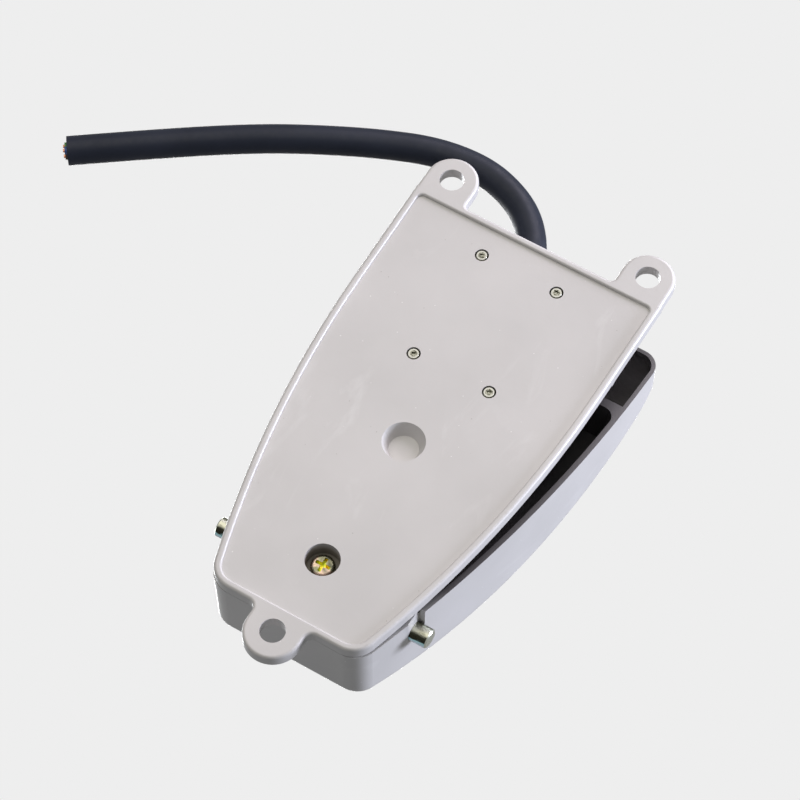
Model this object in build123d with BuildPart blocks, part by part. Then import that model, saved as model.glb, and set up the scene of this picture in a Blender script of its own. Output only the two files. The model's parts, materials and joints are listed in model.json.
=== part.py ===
from build123d import *
import os
from math import cos, pi, radians, sin, sqrt, tan

os.makedirs("parts", exist_ok=True)

# A cast foot switch in millimetres: +Z up from the floor, heel and hinge at -Y, toe and cord at +Y

# Base casting
overall_length = 171.2
base_plate = 4.0
base_heel_half = 24.3
base_shoulder_step = 0.48
base_shoulder_back = 37.7
base_toe_half = 41.8
base_heel_corner = 8.0
base_edge_round = 1.0
recess_inset = 2.3
recess_depth = 1.0
recess_corner = 4.0
recess_round = 0.7

# Mounting ears
toe_ear_inset = 8.3
toe_ear_radius = 8.1
toe_ear_reach = 6.4
heel_ear_radius = 8.6
heel_ear_reach = 5.1
ear_hole_radius = 3.75
toe_ear_blend = 1.5
heel_ear_blend = 2.6

# Hinge
axle_radius = 3.0
axle_length = 70.6
axle_height = 15.0
axle_from_heel = 21.3
axle_chamfer = 0.4
axle_fit = 0.04
hinge_fit = 0.08
hinge_lug_center = 20.0
hinge_lug_thickness = 6.0
hinge_lug_radius = 7.0
hinge_side_play = 0.3
pillar_radius = 8.6
pillar_above_axle = 6.0

# Screw that locks the axle, sunk in the underside
lock_bore_radius = 5.15
lock_seat_height = 7.0
lock_screw_radius = 2.0
lock_head_radius = 3.6
lock_head_height = 2.9
lock_screw_end_above_axle = 1.8
cross_share = 0.3
thread_clearance = 0.05

# Spring boss, pressed up from the underside as a round dimple
dimple_from_heel = 65.6
dimple_radius = 6.4
dimple_floor_radius = 4.4
dimple_depth = 4.4
spring_boss_radius = 8.0
spring_boss_skin = 2.4

# Pedal casting at rest, toe raised
pedal_toe_short = 6.3
pedal_heel_half = 24.5
pedal_shoulder_step = 0.2
pedal_shoulder_back = 8.0
pedal_toe_half = 47.2
pedal_heel_corner = 7.5
pedal_toe_corner = 6.0
pedal_wall = 1.7
pedal_toe_wall = 1.4
pedal_roof = 2.8
pedal_draft = 1.0
pedal_core_draft = 0.5
pedal_heel_height = 28.0
pedal_crown_height = 41.0
pedal_crown_from_heel = 62.5
pedal_toe_height = 30.8
pedal_nose_radius = 17.0
pedal_edge_round = 3.2
rim_tilt = 5.4
rim_gap = 0.3
pedal_travel = 4.5

# Cast anti-slip bars on the tread
tread_bar_count = 12
tread_bar_pitch = 9.0
tread_bar_width = 4.0
tread_bar_rise = 0.9
tread_bar_inset = 9.0
tread_first_from_heel = 14.0

# Ribs inside the pedal and the stops that they land on
stop_rib_from_heel = 113.8
stop_rib_thickness = 2.9
stop_rib_inner = 24.0
stop_rib_blend = 3.5
stop_post_radius = 3.5
stop_post_x = 31.0
stop_gap = 0.3
guide_rib_inset = 0.8
guide_rib_thickness = 2.4
guide_rib_length = 11.0
guide_rib_rise = 4.6
guide_rib_clearance = 0.9

# Return spring between the base and the pedal
spring_radius = 9.8
spring_wire = 1.8
spring_turns = 5.5
spring_cup_wall = 2.0
spring_cup_depth = 3.5
spring_cup_clearance = 0.6
spring_seat_drop = 1.6

# Moulded switch box on the base
screw_pitch_x = 25.4
screw_pitch_y = 39.3
screws_from_toe = 11.4
box_width = 34.0
box_front_margin = 4.5
box_rear_margin = 8.8
box_height = 11.5
box_wall = 2.0
box_floor = 1.5
box_corner = 3.0
box_ear_thickness = 3.0
box_ear_radius = 4.6
gasket_thickness = 0.6
cover_thickness = 2.0
box_screw_radius = 1.95
box_screw_clearance = 0.15
box_screw_head_radius = 3.9
box_screw_head_height = 2.7
box_screw_inset = 0.1
cover_screw_radius = 1.45
cover_screw_head_radius = 2.7
cover_screw_depth = 5.0
cover_screw_inset = 4.2
cover_post_radius = 3.0

# Plunger, contacts and terminals
plunger_from_box_front = 9.1
plunger_radius = 3.4
plunger_fit = 0.06
plunger_left_over = 0.7
stem_radius = 2.0
stem_reach = 1.8
seal_radius = 6.0
seal_height = 0.6
plunger_collar_radius = 4.4
collar_gap = 0.2
contact_spread = 7.0
contact_button_radius = 1.5
contact_button_height = 0.5
contact_strip_thickness = 0.9
contact_strip_width = 4.6
contact_strip_length = 11.0
contact_strip_tail = 2.5
contact_gap = 0.3
bridge_thickness = 0.8
bridge_width = 5.0
contact_spring_radius = 3.3
contact_spring_wire = 0.7
contact_spring_turns = 3.0
terminal_screw_radius = 1.45
terminal_head_radius = 2.1
terminal_head_height = 1.6
terminal_hole_depth = 1.2
earth_tag_radius = 2.6
earth_tag_thickness = 0.5
earth_tag_tail = 3.2
earth_hole_depth = 1.8

# Actuating screw and its lock nut in the pedal
actuator_radius = 2.5
actuator_boss_radius = 5.5
actuator_boss_drop = 1.4
actuator_skin = 1.7
actuator_gap = 0.3
nut_flats = 8.0
nut_thickness = 2.6

# Cord, grommet and cores
cord_diameter = 9.0
cord_height = 9.5
grommet_radius = 5.4
grommet_mouth_radius = 5.1
grommet_length = 8.6
grommet_spigot_radius = 4.0
grommet_core_bore = 3.5
cord_entry = 4.3
core_radius = 1.2
core_bend_inside = 1.3
core_circle_radius = 1.7
core_end_length = 0.8
copper_radius = 0.55
copper_end_length = 0.5

# Openings in the pedal's toe wall, for the cord and for the rear screws of the switch box
arch_clearance = 1.2
arch_reach = 9.0
relief_clearance = 0.5
relief_reach = 3.0
pivot_slot_depth = 1.2

heel_ear_y = heel_ear_radius - overall_length / 2
toe_ear_y = overall_length / 2 - toe_ear_radius
toe_ear_x = base_toe_half - toe_ear_inset
base_heel_y = heel_ear_y + heel_ear_reach
base_toe_y = toe_ear_y - toe_ear_reach
base_shoulder_half = base_toe_half - base_shoulder_step
pedal_shoulder_half = pedal_toe_half - pedal_shoulder_step
axle_y = base_heel_y + axle_from_heel
dimple_y = base_heel_y + dimple_from_heel
pedal_toe_y = base_toe_y - pedal_toe_short
stop_rib_y = base_heel_y + stop_rib_from_heel
rim_heel_z = base_plate + rim_gap
rear_screw_y = base_toe_y - screws_from_toe
front_screw_y = rear_screw_y - screw_pitch_y
box_front_y = front_screw_y + box_front_margin
box_rear_y = rear_screw_y - box_rear_margin
box_middle_y = (box_front_y + box_rear_y) / 2
box_top = base_plate + box_height
box_deck = base_plate + box_floor
cover_top = box_top + gasket_thickness + cover_thickness
plunger_y = box_front_y + plunger_from_box_front
dimple_roof = recess_depth + dimple_depth + spring_boss_skin
terminal_y = plunger_y - contact_strip_width / 2 + contact_strip_length - contact_strip_tail
cord_start_y = box_rear_y + cord_entry


def circle_through(a, b, c):
    # centre and radius of the circle through three points of a plane
    d = 2 * (a[0] * (b[1] - c[1]) + b[0] * (c[1] - a[1]) + c[0] * (a[1] - b[1]))
    aa, bb, cc = a[0] ** 2 + a[1] ** 2, b[0] ** 2 + b[1] ** 2, c[0] ** 2 + c[1] ** 2
    y = (aa * (b[1] - c[1]) + bb * (c[1] - a[1]) + cc * (a[1] - b[1])) / d
    z = (aa * (c[0] - b[0]) + bb * (a[0] - c[0]) + cc * (b[0] - a[0])) / d
    return y, z, sqrt((a[0] - y) ** 2 + (a[1] - z) ** 2)


tread_y, tread_center_z, tread_radius = circle_through(
    (base_heel_y, pedal_heel_height),
    (base_heel_y + pedal_crown_from_heel, pedal_crown_height),
    (pedal_toe_y, pedal_toe_height),
)


def tread_z(y, below=0.0):
    # height of the arched tread, or of a surface that lies below it
    return tread_center_z + sqrt((tread_radius - below) ** 2 - (y - tread_y) ** 2)


def rim_z(y):
    # height of the pedal's lower rim at rest
    return rim_heel_z + (y - base_heel_y) * tan(radians(rim_tilt))


def pedal_half(y):
    # half width of the rim where the flank's arc runs, tangent to the straight side at the shoulder
    shoulder = Vector(pedal_shoulder_half, pedal_toe_y - pedal_shoulder_back)
    side = shoulder - Vector(pedal_toe_half, pedal_toe_y)
    across = Vector(side.Y, -side.X).normalized()
    chord = Vector(pedal_heel_half, base_heel_y) - shoulder
    flank_radius = chord.dot(chord) / (2 * chord.dot(across))
    center = shoulder + across * flank_radius
    return center.X + sqrt(flank_radius**2 - (y - center.Y) ** 2)


def drop(y, z=axle_height):
    # how far a point of the pedal comes down over the whole travel
    turn = radians(pedal_travel)
    return (y - axle_y) * sin(turn) + (z - axle_height) * (1 - cos(turn))


plunger_stroke = drop(plunger_y, cover_top)
plunger_top = cover_top + plunger_left_over + plunger_stroke
contact_top = box_deck + contact_strip_thickness + contact_button_height
bridge_under = contact_top + contact_gap + plunger_stroke + contact_button_height
bridge_top = bridge_under + bridge_thickness
box_ear_top = base_plate + box_ear_thickness
box_head_top = box_ear_top + box_screw_head_height


def save(piece, label):
    piece.part.label = label
    export_step(piece.part, f"parts/{label}.step")
    print(label, "volume", round(piece.part.volume, 1))


def taper_plan(heel, shoulder, toe, heel_corner, toe_corner, inset=0.0):
    # outline that widens in an arc from the heel edge and runs on straight to the toe edge
    with BuildSketch() as plan:
        with BuildLine():
            Line((0, heel[1]), heel)
            side = Line(toe, shoulder)
            TangentArc(shoulder, heel, tangent=side % 1)
            Line((0, toe[1]), toe)
            mirror(about=Plane.YZ)
        make_face()
        corners = plan.vertices().group_by(Axis.Y)
        fillet(corners[0].filter_by(lambda v: abs(v.X) > 1), radius=heel_corner)
        corners = plan.vertices().group_by(Axis.Y)
        if toe_corner:
            fillet(corners[-1].filter_by(lambda v: abs(v.X) > 1), radius=toe_corner)
        if inset:
            offset(amount=-inset, kind=Kind.ARC, mode=Mode.REPLACE)
    return plan.sketch


def base_plan(inset=0.0, toe_corner=0.0):
    return taper_plan(
        (base_heel_half, base_heel_y),
        (base_shoulder_half, base_toe_y - base_shoulder_back),
        (base_toe_half, base_toe_y),
        base_heel_corner,
        toe_corner,
        inset,
    )


def pedal_plan(inset=0.0):
    return taper_plan(
        (pedal_heel_half, base_heel_y),
        (pedal_shoulder_half, pedal_toe_y - pedal_shoulder_back),
        (pedal_toe_half, pedal_toe_y),
        pedal_heel_corner,
        pedal_toe_corner,
        inset,
    )


def pedal_side(below, heel_wall, toe_wall, nose):
    # side view of the pedal, or of the room inside it, drawn with Y along and Z up
    heel_y = base_heel_y + heel_wall
    toe_y = pedal_toe_y - toe_wall
    middle_y = (heel_y + toe_y) / 2
    with BuildSketch() as side:
        with BuildLine():
            heel_top = (heel_y, tread_z(heel_y, below))
            toe_top = (toe_y, tread_z(toe_y, below))
            Line((heel_y, 0), heel_top)
            ThreePointArc(heel_top, (middle_y, tread_z(middle_y, below)), toe_top)
            Line(toe_top, (toe_y, 0))
            Line((toe_y, 0), (heel_y, 0))
        make_face()
        nose_corner = side.vertices().filter_by(lambda v: v.Y > 1)
        fillet(nose_corner.sort_by(Axis.X)[-1], radius=nose)
    return side.sketch


# Base: plate with three ears, recessed underside, spring boss, hinge lugs, axle pillar and stops
with BuildPart() as base:
    with BuildSketch():
        add(base_plan())
        with Locations((toe_ear_x, toe_ear_y), (-toe_ear_x, toe_ear_y)):
            Circle(toe_ear_radius)
            Rectangle(
                2 * toe_ear_radius,
                toe_ear_reach + toe_ear_radius,
                align=(Align.CENTER, Align.MAX),
            )
        with Locations((0, heel_ear_y)):
            Circle(heel_ear_radius)
            Rectangle(
                2 * heel_ear_radius,
                heel_ear_reach + heel_ear_radius,
                align=(Align.CENTER, Align.MIN),
            )
    ear_roots = extrude(amount=base_plate).edges().filter_by(Axis.Z)
    toe_roots = ear_roots.filter_by(
        lambda e: abs(e.center().Y - base_toe_y) < 0.01
        and abs(abs(e.center().X) - toe_ear_x + toe_ear_radius) < 0.01
    )
    fillet(toe_roots, radius=toe_ear_blend)
    heel_roots = base.edges().filter_by(Axis.Z).filter_by(
        lambda e: abs(e.center().Y - base_heel_y) < 0.01
        and abs(abs(e.center().X) - heel_ear_radius) < 0.01
    )
    fillet(heel_roots, radius=heel_ear_blend)
    underside = base.faces().sort_by(Axis.Z)[0]
    fillet(underside.outer_wire().edges(), radius=base_edge_round)

    with BuildSketch():
        add(base_plan(recess_inset, recess_corner))
    extrude(amount=recess_depth, mode=Mode.SUBTRACT)
    recess_rim = base.edges().filter_by(
        lambda e: e.center().Z < 0.01
        and abs(e.center().X) < base_toe_half - recess_inset + 0.1
        and base_heel_y + recess_inset - 0.1 < e.center().Y < base_toe_y - recess_inset + 0.1
    )
    fillet(recess_rim, radius=recess_round)

    with Locations((0, dimple_y, base_plate)):
        Cylinder(
            spring_boss_radius,
            dimple_roof - base_plate,
            align=(Align.CENTER, Align.CENTER, Align.MIN),
        )
    fillet(base.faces().sort_by(Axis.Z)[-1].edges(), radius=1.2)
    with Locations((0, dimple_y, recess_depth)):
        Cone(
            dimple_radius,
            dimple_floor_radius,
            dimple_depth,
            align=(Align.CENTER, Align.CENTER, Align.MIN),
            mode=Mode.SUBTRACT,
        )

    with BuildSketch(Plane.YZ.offset(-hinge_lug_center)):
        with Locations((axle_y, axle_height)):
            Circle(hinge_lug_radius)
        with Locations((axle_y, base_plate)):
            Trapezoid(
                3 * hinge_lug_radius,
                axle_height - base_plate,
                66,
                align=(Align.CENTER, Align.MIN),
            )
    extrude(amount=hinge_lug_thickness / 2, both=True)
    mirror(about=Plane.YZ)
    with Locations((0, axle_y, base_plate)):
        Cylinder(
            pillar_radius,
            axle_height + pillar_above_axle - base_plate,
            align=(Align.CENTER, Align.CENTER, Align.MIN),
        )
    with BuildSketch(Plane.YZ):
        with Locations((axle_y, axle_height)):
            Circle(axle_radius + axle_fit)
    extrude(amount=axle_length / 2, both=True, mode=Mode.SUBTRACT)
    with BuildSketch():
        with Locations((0, axle_y)):
            Circle(lock_screw_radius + thread_clearance)
    extrude(amount=axle_height + lock_screw_end_above_axle, mode=Mode.SUBTRACT)
    with BuildSketch():
        with Locations((0, axle_y)):
            Circle(lock_bore_radius)
    extrude(amount=lock_seat_height, mode=Mode.SUBTRACT)

    stop_post_top = rim_z(stop_rib_y) - drop(stop_rib_y) - stop_gap
    with BuildSketch(Plane.XY.offset(base_plate)):
        with Locations((stop_post_x, stop_rib_y), (-stop_post_x, stop_rib_y)):
            Circle(stop_post_radius)
    extrude(amount=stop_post_top - base_plate, taper=4)
    guide_y = stop_rib_y + stop_rib_thickness / 2 + guide_rib_clearance
    guide_x = base_shoulder_half - guide_rib_inset
    with BuildSketch(Plane.YZ.offset(guide_x - guide_rib_thickness)):
        Polygon(
            (guide_y, base_plate),
            (guide_y + guide_rib_length, base_plate),
            (guide_y, base_plate + guide_rib_rise),
            align=None,
        )
    extrude(amount=guide_rib_thickness)
    mirror(about=Plane.YZ)

    with BuildSketch():
        with Locations((toe_ear_x, toe_ear_y), (-toe_ear_x, toe_ear_y), (0, heel_ear_y)):
            Circle(ear_hole_radius)
        with Locations((0, (front_screw_y + rear_screw_y) / 2)):
            with GridLocations(screw_pitch_x, screw_pitch_y, 2, 2):
                Circle(box_screw_radius + box_screw_clearance)
    extrude(amount=base_plate, mode=Mode.SUBTRACT)
    with BuildSketch(Plane.XY.offset(base_plate)):
        with Locations((0, terminal_y)):
            Circle(terminal_screw_radius + thread_clearance)
    extrude(amount=-earth_hole_depth, mode=Mode.SUBTRACT)
save(base, "base_casting")


# Pedal: arched shell with cast bars, pivot bosses, spring cup, actuator boss and stop ribs
pivot_boss_inner = hinge_lug_center + hinge_lug_thickness / 2 + hinge_side_play
spring_cup_radius = spring_radius + spring_wire / 2 + spring_cup_clearance
spring_seat_z = tread_z(dimple_y, pedal_roof) - spring_seat_drop
actuator_boss_z = tread_z(plunger_y, pedal_roof) - actuator_boss_drop
far_up = pedal_crown_height + 10

with BuildPart() as cavity:
    with BuildSketch():
        add(pedal_plan(pedal_wall))
        with BuildSketch(mode=Mode.PRIVATE) as toe_end:
            add(pedal_plan(pedal_toe_wall))
            with Locations((0, stop_rib_y)):
                Rectangle(
                    3 * pedal_toe_half,
                    overall_length,
                    align=(Align.CENTER, Align.MIN),
                    mode=Mode.INTERSECT,
                )
        add(toe_end.sketch)
    extrude(amount=far_up, taper=pedal_core_draft)
    with BuildSketch(Plane.YZ):
        add(pedal_side(pedal_roof, 0, pedal_toe_wall, pedal_nose_radius - pedal_roof))
    extrude(amount=2 * pedal_toe_half, both=True, mode=Mode.INTERSECT)
    # what is taken out of this room stays as bosses and ribs of the casting
    with BuildSketch(Plane.XY.offset(spring_seat_z - spring_cup_depth)):
        with Locations((0, dimple_y)):
            Circle(spring_cup_radius + spring_cup_wall)
            Circle(spring_cup_radius, mode=Mode.SUBTRACT)
    extrude(amount=far_up, mode=Mode.SUBTRACT)
    with BuildSketch(Plane.XY.offset(spring_seat_z)):
        with Locations((0, dimple_y)):
            Circle(spring_cup_radius + spring_cup_wall / 2)
    extrude(amount=far_up, mode=Mode.SUBTRACT)
    with BuildSketch(Plane.XY.offset(actuator_boss_z)):
        with Locations((0, plunger_y)):
            Circle(actuator_boss_radius)
    extrude(amount=far_up, mode=Mode.SUBTRACT)
    for side in (-1, 1):
        with BuildSketch(Plane.YZ.offset(side * pivot_boss_inner)):
            with Locations((axle_y, axle_height)):
                Circle(hinge_lug_radius)
        extrude(amount=side * 2 * pedal_toe_half, mode=Mode.SUBTRACT)
    with BuildSketch():
        for side in (-1, 1):
            with Locations((side * stop_rib_inner, stop_rib_y)):
                Rectangle(
                    pedal_toe_half,
                    stop_rib_thickness,
                    align=(Align.MIN if side > 0 else Align.MAX, Align.CENTER),
                )
    extrude(amount=far_up, mode=Mode.SUBTRACT)
    blend_edges = cavity.edges().filter_by(
        lambda e: abs((e % 0.5).Z) > 0.99
        and abs(e.center().Y - stop_rib_y + stop_rib_thickness / 2) < 0.3
        and abs(e.center().X) > stop_rib_inner + 1
    )
    fillet(blend_edges, radius=stop_rib_blend)

with BuildPart() as bars:
    with BuildSketch():
        add(pedal_plan(tread_bar_inset))
        with BuildSketch(mode=Mode.PRIVATE) as strips:
            for number in range(tread_bar_count):
                with Locations((0, base_heel_y + tread_first_from_heel + number * tread_bar_pitch)):
                    Rectangle(3 * pedal_toe_half, tread_bar_width)
        add(strips.sketch, mode=Mode.INTERSECT)
    extrude(amount=far_up)
    with BuildSketch(Plane.YZ):
        add(pedal_side(-tread_bar_rise, 0, 0, pedal_nose_radius))
        add(pedal_side(pedal_roof / 2, -1, -1, pedal_nose_radius), mode=Mode.SUBTRACT)
    extrude(amount=2 * pedal_toe_half, both=True, mode=Mode.INTERSECT)

with BuildPart() as pedal:
    with BuildSketch():
        add(pedal_plan())
    extrude(amount=far_up, taper=pedal_draft)
    with BuildSketch(Plane.YZ):
        add(pedal_side(0, 0, 0, pedal_nose_radius))
    extrude(amount=2 * pedal_toe_half, both=True, mode=Mode.INTERSECT)
    rim_plane = Plane((0, base_heel_y, rim_heel_z)).rotated((rim_tilt, 0, 0))
    split(bisect_by=rim_plane, keep=Keep.TOP)
    roof = pedal.faces().filter_by(lambda f: f.normal_at(f.center()).Z > 0.2)
    walls = pedal.faces().filter_by(lambda f: abs(f.normal_at(f.center()).Z) < 0.2)
    wall_edges = walls.edges()
    fillet([e for e in roof.edges() if any(e.is_same(w) for w in wall_edges)], radius=pedal_edge_round)
    add(cavity.part, mode=Mode.SUBTRACT)

    with BuildSketch(Plane.YZ):
        with Locations((axle_y, axle_height)):
            Circle(axle_radius + hinge_fit)
    extrude(amount=2 * pedal_toe_half, both=True, mode=Mode.SUBTRACT)
    # each bore is open to the rim through a shallow slot in the outer face
    with BuildSketch(Plane.YZ.offset(pedal_half(axle_y) - pivot_slot_depth)):
        with Locations((axle_y, axle_height)):
            Circle(axle_radius + hinge_fit)
            Rectangle(
                2 * (axle_radius + hinge_fit), axle_height, align=(Align.CENTER, Align.MAX)
            )
    slot = extrude(amount=2 * pedal_wall, mode=Mode.SUBTRACT)
    mirror(slot, about=Plane.YZ, mode=Mode.SUBTRACT)

    arch_radius = grommet_radius + arch_clearance
    with BuildSketch(Plane.XZ.offset(arch_reach - pedal_toe_y)):
        with Locations((0, cord_height + drop(pedal_toe_y))):
            Circle(arch_radius)
            Rectangle(2 * arch_radius, far_up, align=(Align.CENTER, Align.MAX))
    extrude(amount=-2 * arch_reach, mode=Mode.SUBTRACT)
    relief_half = screw_pitch_x / 2 + box_screw_head_radius + relief_clearance
    with BuildSketch(Plane.XZ.offset(relief_reach - pedal_toe_y)):
        with Locations((0, box_head_top + relief_clearance + drop(pedal_toe_y))):
            Rectangle(2 * relief_half, far_up, align=(Align.CENTER, Align.MAX))
    extrude(amount=-2 * relief_reach, mode=Mode.SUBTRACT)

    with BuildSketch():
        with Locations((0, plunger_y)):
            Circle(actuator_radius + thread_clearance)
    extrude(amount=tread_z(plunger_y) - actuator_skin, mode=Mode.SUBTRACT)
    add(bars.part)
save(pedal, "pedal_casting")


# Hinge axle, tapped across for the screw that locks it
with BuildPart() as axle:
    with BuildSketch(Plane.YZ):
        with Locations((axle_y, axle_height)):
            Circle(axle_radius)
    extrude(amount=axle_length / 2, both=True)
    chamfer(axle.edges().filter_by(GeomType.CIRCLE), length=axle_chamfer)
    with BuildSketch():
        with Locations((0, axle_y)):
            Circle(lock_screw_radius + thread_clearance)
    extrude(amount=axle_height + lock_screw_end_above_axle, mode=Mode.SUBTRACT)
save(axle, "hinge_axle")


def pan_screw(label, place, seat, tip, radius, head_radius, head_height):
    # round-edged head with a cross recess, and a hollow in the end of the shank
    up = 1 if seat > tip else -1
    with BuildPart() as piece:
        with BuildSketch(Plane.XY.offset(tip)):
            with Locations(place):
                Circle(radius)
        extrude(amount=seat - tip)
        chamfer(piece.faces().sort_by(Axis.Z)[0 if up > 0 else -1].edges(), length=radius / 5)
        with BuildSketch(Plane.XY.offset(tip)):
            with Locations(place):
                Circle(radius / 3)
        extrude(amount=up * radius / 5, mode=Mode.SUBTRACT)
        with BuildSketch(Plane.XY.offset(seat)):
            with Locations(place):
                Circle(head_radius)
        extrude(amount=up * head_height)
        crown = piece.faces().sort_by(Axis.Z)[-1 if up > 0 else 0]
        fillet(crown.edges(), radius=0.4 * head_height)
        with BuildSketch(Plane.XY.offset(seat + up * head_height)):
            with Locations(place):
                Rectangle(1.3 * head_radius, cross_share * head_radius)
                Rectangle(cross_share * head_radius, 1.3 * head_radius)
        extrude(amount=-up * head_height / 2, mode=Mode.SUBTRACT)
    save(piece, label)


def coil(label, place, bottom, top, radius, wire, turns):
    # round wire wound as a helix between two seats
    rise = top - bottom - wire
    with BuildPart() as piece:
        with BuildLine() as path:
            Helix(rise / turns, rise, radius, center=(*place, bottom + wire / 2))
        with BuildSketch(Plane(path.line @ 0, z_dir=path.line % 0)):
            Circle(wire / 2)
        sweep(path=path.line, is_frenet=True)
    save(piece, label)


lock_screw_tip = axle_height + lock_screw_end_above_axle - thread_clearance
pan_screw(
    "axle_lock_screw",
    (0, axle_y),
    lock_seat_height,
    lock_screw_tip,
    lock_screw_radius,
    lock_head_radius,
    lock_head_height,
)
coil(
    "return_spring",
    (0, dimple_y),
    base_plate,
    spring_seat_z - stop_gap,
    spring_radius,
    spring_wire,
    spring_turns,
)


# Switch box: open moulding with four screw ears, four cover posts and the cord entry
box_screws = [
    (side * screw_pitch_x / 2, y) for y in (front_screw_y, rear_screw_y) for side in (1, -1)
]
cover_screws = [
    (side * (box_width / 2 - cover_screw_inset), y)
    for y in (box_front_y + cover_screw_inset, box_rear_y - cover_screw_inset)
    for side in (1, -1)
]
box_length = box_rear_y - box_front_y

with BuildPart() as switch_box:
    with BuildSketch(Plane.XY.offset(base_plate)):
        for x, y in box_screws:
            with Locations((x, y)):
                Circle(box_ear_radius)
            with Locations((x, (y + box_middle_y) / 2)):
                Rectangle(2 * box_ear_radius, abs(y - box_middle_y))
    extrude(amount=box_ear_thickness)
    with BuildSketch(Plane.XY.offset(base_plate)):
        with Locations((0, box_middle_y)):
            RectangleRounded(box_width, box_length, box_corner)
    extrude(amount=box_height)
    with BuildSketch(Plane.XY.offset(box_deck)):
        with Locations((0, box_middle_y)):
            RectangleRounded(
                box_width - 2 * box_wall, box_length - 2 * box_wall, box_corner - box_wall
            )
        with Locations(*cover_screws):
            Circle(cover_post_radius, mode=Mode.SUBTRACT)
    extrude(amount=box_height, mode=Mode.SUBTRACT)
    with BuildSketch(Plane.XY.offset(base_plate)):
        with Locations(*box_screws):
            Circle(box_screw_radius + box_screw_clearance)
        with Locations((0, terminal_y)):
            Circle(terminal_screw_radius + thread_clearance)
    extrude(amount=box_ear_thickness, mode=Mode.SUBTRACT)
    with BuildSketch(Plane.XY.offset(box_deck)):
        with Locations((contact_spread, terminal_y), (-contact_spread, terminal_y)):
            Circle(terminal_screw_radius + thread_clearance)
    extrude(amount=-terminal_hole_depth, mode=Mode.SUBTRACT)
    with BuildSketch(Plane.XY.offset(box_top)):
        with Locations(*cover_screws):
            Circle(cover_screw_radius + thread_clearance)
    extrude(amount=-cover_screw_depth, mode=Mode.SUBTRACT)
    with BuildSketch(Plane.XZ.offset(-box_rear_y)):
        with Locations((0, cord_height)):
            Circle(grommet_spigot_radius)
    extrude(amount=box_wall, mode=Mode.SUBTRACT)
save(switch_box, "switch_box")

with BuildPart() as gasket:
    with BuildSketch(Plane.XY.offset(box_top)):
        with Locations((0, box_middle_y)):
            RectangleRounded(box_width, box_length, box_corner)
            RectangleRounded(
                box_width - 2 * box_wall,
                box_length - 2 * box_wall,
                box_corner - box_wall,
                mode=Mode.SUBTRACT,
            )
        with Locations(*cover_screws):
            Circle(cover_post_radius)
            Circle(cover_screw_radius + box_screw_clearance, mode=Mode.SUBTRACT)
    extrude(amount=gasket_thickness)
save(gasket, "cover_gasket")

cover_under = box_top + gasket_thickness
sink_depth = cover_screw_head_radius - cover_screw_radius
with BuildPart() as cover:
    with BuildSketch(Plane.XY.offset(cover_under)):
        with Locations((0, box_middle_y)):
            RectangleRounded(box_width, box_length, box_corner)
        with Locations((0, plunger_y)):
            Circle(plunger_radius + plunger_fit, mode=Mode.SUBTRACT)
    extrude(amount=cover_thickness)
    chamfer(cover.faces().sort_by(Axis.Z)[-1].outer_wire().edges(), length=cover_thickness / 4)
    with Locations(*[(x, y, cover_top) for x, y in cover_screws]):
        CounterSinkHole(
            cover_screw_radius + box_screw_clearance, cover_screw_head_radius, cover_thickness
        )
save(cover, "switch_cover")

for number, place in enumerate(box_screws, 1):
    pan_screw(
        f"box_screw_{number}",
        place,
        box_ear_top,
        recess_depth + box_screw_inset,
        box_screw_radius,
        box_screw_head_radius,
        box_screw_head_height,
    )

for number, place in enumerate(cover_screws, 1):
    with BuildPart() as piece:
        with BuildSketch(Plane.XY.offset(cover_under - cover_screw_depth)):
            with Locations(place):
                Circle(cover_screw_radius)
        extrude(amount=cover_screw_depth + cover_thickness)
        with Locations((*place, cover_top)):
            Cone(
                cover_screw_radius,
                cover_screw_head_radius,
                sink_depth,
                align=(Align.CENTER, Align.CENTER, Align.MAX),
            )
        with BuildSketch(Plane.XY.offset(cover_top)):
            with Locations(place):
                Rectangle(1.3 * cover_screw_head_radius, cross_share * cover_screw_head_radius)
                Rectangle(cross_share * cover_screw_head_radius, 1.3 * cover_screw_head_radius)
        extrude(amount=-sink_depth, mode=Mode.SUBTRACT)
    save(piece, f"cover_screw_{number}")


# Plunger, its seal on the cover, and the contacts that it bridges
with BuildPart() as plunger:
    with BuildSketch(Plane.XY.offset(bridge_top)):
        with Locations((0, plunger_y)):
            Circle(plunger_radius)
    extrude(amount=plunger_top - bridge_top)
    fillet(plunger.faces().sort_by(Axis.Z)[-1].edges(), radius=plunger_radius / 2)
    with BuildSketch(Plane.XY.offset(bridge_top)):
        with Locations((0, plunger_y)):
            Circle(plunger_collar_radius)
    extrude(amount=cover_under - collar_gap - bridge_top)
    with BuildSketch(Plane.XY.offset(bridge_top)):
        with Locations((0, plunger_y)):
            Circle(stem_radius)
    extrude(amount=-stem_reach)
save(plunger, "plunger")

with BuildPart() as seal:
    with BuildSketch(Plane.XY.offset(cover_top)):
        with Locations((0, plunger_y)):
            Circle(seal_radius)
    extrude(amount=seal_height, taper=30)
    with BuildSketch(Plane.XY.offset(cover_top)):
        with Locations((0, plunger_y)):
            Circle(plunger_radius + plunger_fit)
    extrude(amount=seal_height, mode=Mode.SUBTRACT)
save(seal, "plunger_seal")

with BuildPart() as bridge:
    with BuildSketch(Plane.XY.offset(bridge_under)):
        with Locations((0, plunger_y)):
            SlotCenterToCenter(2 * contact_spread, bridge_width)
            Circle(stem_radius + thread_clearance, mode=Mode.SUBTRACT)
    extrude(amount=bridge_thickness)
    with BuildSketch(Plane.XY.offset(bridge_under)):
        with Locations((contact_spread, plunger_y), (-contact_spread, plunger_y)):
            Circle(contact_button_radius)
    extrude(amount=-contact_button_height)
save(bridge, "bridge_contact")

coil(
    "contact_spring",
    (0, plunger_y),
    box_deck,
    bridge_under - thread_clearance,
    contact_spring_radius,
    contact_spring_wire,
    contact_spring_turns,
)

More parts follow.
